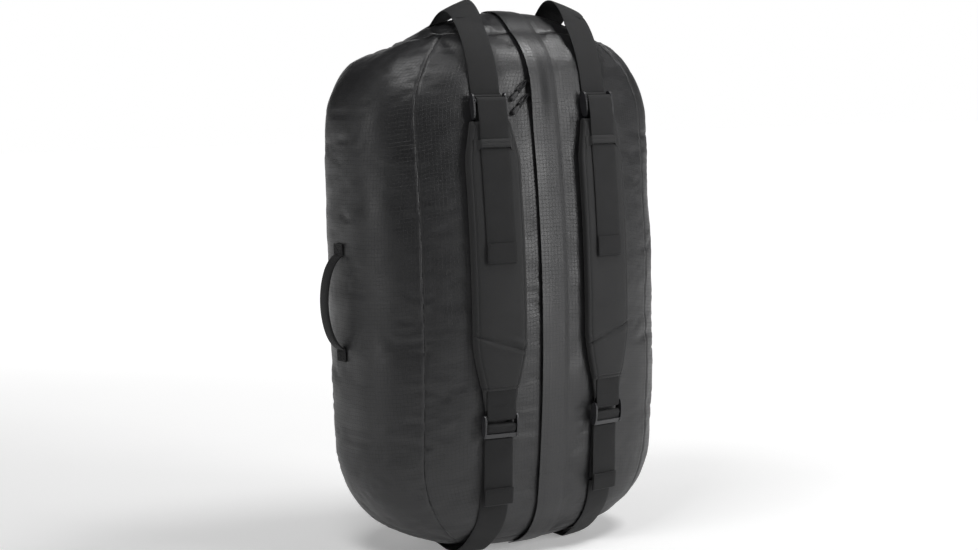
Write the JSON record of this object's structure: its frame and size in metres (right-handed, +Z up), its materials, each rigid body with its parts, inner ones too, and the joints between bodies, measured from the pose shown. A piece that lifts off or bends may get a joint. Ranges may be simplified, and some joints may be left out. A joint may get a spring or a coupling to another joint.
{
  "type": "duffel bag with backpack straps",
  "caption": "Large soft duffel bag standing on end, with padded shoulder straps, haul bands, side handles and a zip under a storm flap.",
  "frame": {"origin": "on the floor under the middle of the bag, at the centre of the flattened base", "axes": "+Z up along the length of the bag, +X to the viewer's right, and -Y out of the front with the zip and the shoulder straps"},
  "size_m": [0.5144, 0.3253, 0.7426],
  "materials": {
    "shell_fabric": "satin coated ripstop",
    "webbing": "matte twill webbing",
    "pad_cover": "smooth stretch cloth",
    "air_mesh": "open spacer mesh",
    "foam": "closed-cell foam",
    "buckle": "moulded, satin gloss",
    "slider_metal": "black enamel",
    "zip_coil": "coil",
    "zip_tape": "woven tape",
    "cord": "braided cord",
    "pull_rubber": "moulded grip"
  },
  "bodies": {
    "shell": {"front_panel_left": "shell_fabric", "front_panel_right": "shell_fabric", "side_panel_left": "shell_fabric", "side_panel_right": "shell_fabric", "back_panel": "shell_fabric", "top_end_panel": "shell_fabric", "base_end_panel": "shell_fabric", "zip_tape_left": "zip_tape", "zip_tape_right": "zip_tape", "zip_coil_left": "zip_coil", "zip_coil_right": "zip_coil", "zip_end_top": "zip_tape", "zip_end_base": "zip_tape", "storm_flap_top_end": "shell_fabric", "storm_flap_base_end": "shell_fabric", "haul_band_top_left": "webbing", "haul_band_top_right": "webbing", "haul_band_back_left": "webbing", "haul_band_back_right": "webbing", "haul_band_base_left": "webbing", "haul_band_base_right": "webbing", "handle_feet_left": "webbing", "handle_feet_right": "webbing"},
    "storm_flap": {"storm_flap": "shell_fabric"},
    "lower_slider": {"lower_slider": "slider_metal", "lower_cord_bight": "cord"},
    "lower_pull": {"lower_pull_cord": "cord", "lower_pull_grip": "pull_rubber"},
    "upper_slider": {"upper_slider": "slider_metal", "upper_cord_bight": "cord"},
    "upper_pull": {"upper_pull_cord": "cord", "upper_pull_grip": "pull_rubber"},
    "left_strap": {"upper_buckle_left": "buckle", "upper_webbing_left": "webbing", "pad_mesh_left": "air_mesh", "pad_foam_left": "foam", "pad_cover_left": "pad_cover", "keeper_left": "webbing", "lower_tab_left": "webbing"},
    "left_upper_tail": {"upper_tail_left": "webbing"},
    "left_ladder_lock": {"ladder_lock_left": "buckle", "lower_wrap_left": "webbing"},
    "left_lower_tail": {"lower_tail_left": "webbing"},
    "left_lower_run": {"lower_run_left": "webbing"},
    "left_side_handle": {"side_handle_left": "webbing"},
    "right_strap": {"upper_buckle_right": "buckle", "upper_webbing_right": "webbing", "pad_mesh_right": "air_mesh", "pad_foam_right": "foam", "pad_cover_right": "pad_cover", "keeper_right": "webbing", "lower_tab_right": "webbing"},
    "right_upper_tail": {"upper_tail_right": "webbing"},
    "right_ladder_lock": {"ladder_lock_right": "buckle", "lower_wrap_right": "webbing"},
    "right_lower_tail": {"lower_tail_right": "webbing"},
    "right_lower_run": {"lower_run_right": "webbing"},
    "right_side_handle": {"side_handle_right": "webbing"}
  },
  "joints": [
    {"name": "storm_flap_lift", "type": "hinge", "parent": "shell", "child": "storm_flap", "pos_m": [0.024, -0.15593, 0.356], "axis": [0, 0, 1], "range_deg": [0, 40]},
    {"name": "lower_slider_travel", "type": "hinge", "parent": "shell", "child": "lower_slider", "pos_m": [-0.008, 1.545, 0.356], "axis": [1, 0, 0], "range_deg": [0, 17.53]},
    {"name": "upper_slider_travel", "type": "hinge", "parent": "shell", "child": "upper_slider", "pos_m": [-0.008, 1.545, 0.356], "axis": [1, 0, 0], "range_deg": [-0.342, 0]},
    {"name": "lower_pull_swing", "type": "hinge", "parent": "lower_slider", "child": "lower_pull", "pos_m": [-0.0234, -0.13789, 0.61235], "axis": [-0.7071, 0.1065, 0.699], "range_deg": [0, 80]},
    {"name": "upper_pull_swing", "type": "hinge", "parent": "upper_slider", "child": "upper_pull", "pos_m": [-0.0234, -0.13504, 0.63037], "axis": [-0.7071, 0.114, 0.6979], "range_deg": [0, 80]},
    {"name": "left_strap_swing", "type": "hinge", "parent": "shell", "child": "left_strap", "pos_m": [-0.084, -0.13513, 0.61065], "axis": [-0.991, 0.1339, 0], "range_deg": [0, 10]},
    {"name": "left_upper_tail_lift", "type": "hinge", "parent": "left_strap", "child": "left_upper_tail", "pos_m": [-0.084, -0.15379, 0.54468], "axis": [-0.9912, 0.1322, 0], "range_deg": [0, 60]},
    {"name": "left_ladder_lock_tilt", "type": "hinge", "parent": "left_strap", "child": "left_ladder_lock", "pos_m": [-0.084, -0.15014, 0.19532], "axis": [-0.9909, 0.1348, 0], "range_deg": [0, 25]},
    {"name": "left_lower_tail_lift", "type": "hinge", "parent": "left_ladder_lock", "child": "left_lower_tail", "pos_m": [-0.084, -0.14462, 0.16719], "axis": [-0.9912, 0.1322, 0], "range_deg": [0, 45]},
    {"name": "left_lower_run_follow", "type": "hinge", "parent": "shell", "child": "left_lower_run", "pos_m": [-0.084, -0.13141, 0.09373], "axis": [0.9905, -0.1373, 0], "range_deg": [0, 40]},
    {"name": "left_side_handle_swing", "type": "hinge", "parent": "shell", "child": "left_side_handle", "pos_m": [-0.23075, 0.009, 0.3445], "axis": [0, 0, 1], "range_deg": [-30, 30]},
    {"name": "right_strap_swing", "type": "hinge", "parent": "shell", "child": "right_strap", "pos_m": [0.084, -0.13513, 0.61065], "axis": [-0.991, -0.1339, 0], "range_deg": [0, 10]},
    {"name": "right_upper_tail_lift", "type": "hinge", "parent": "right_strap", "child": "right_upper_tail", "pos_m": [0.084, -0.15379, 0.54468], "axis": [-0.9912, -0.1322, 0], "range_deg": [0, 60]},
    {"name": "right_ladder_lock_tilt", "type": "hinge", "parent": "right_strap", "child": "right_ladder_lock", "pos_m": [0.084, -0.15014, 0.19532], "axis": [-0.9909, -0.1348, 0], "range_deg": [0, 25]},
    {"name": "right_lower_tail_lift", "type": "hinge", "parent": "right_ladder_lock", "child": "right_lower_tail", "pos_m": [0.084, -0.14462, 0.16719], "axis": [-0.9912, -0.1322, 0], "range_deg": [0, 45]},
    {"name": "right_lower_run_follow", "type": "hinge", "parent": "shell", "child": "right_lower_run", "pos_m": [0.084, -0.13141, 0.09373], "axis": [0.9905, 0.1373, 0], "range_deg": [0, 40]},
    {"name": "right_side_handle_swing", "type": "hinge", "parent": "shell", "child": "right_side_handle", "pos_m": [0.23075, 0.009, 0.3445], "axis": [0, 0, 1], "range_deg": [-30, 30]}
  ],
  "couplings": [
    {"joint": "left_lower_run_follow", "follows": "left_strap_swing", "ratio": 3.9},
    {"joint": "right_lower_run_follow", "follows": "right_strap_swing", "ratio": 3.9}
  ]
}
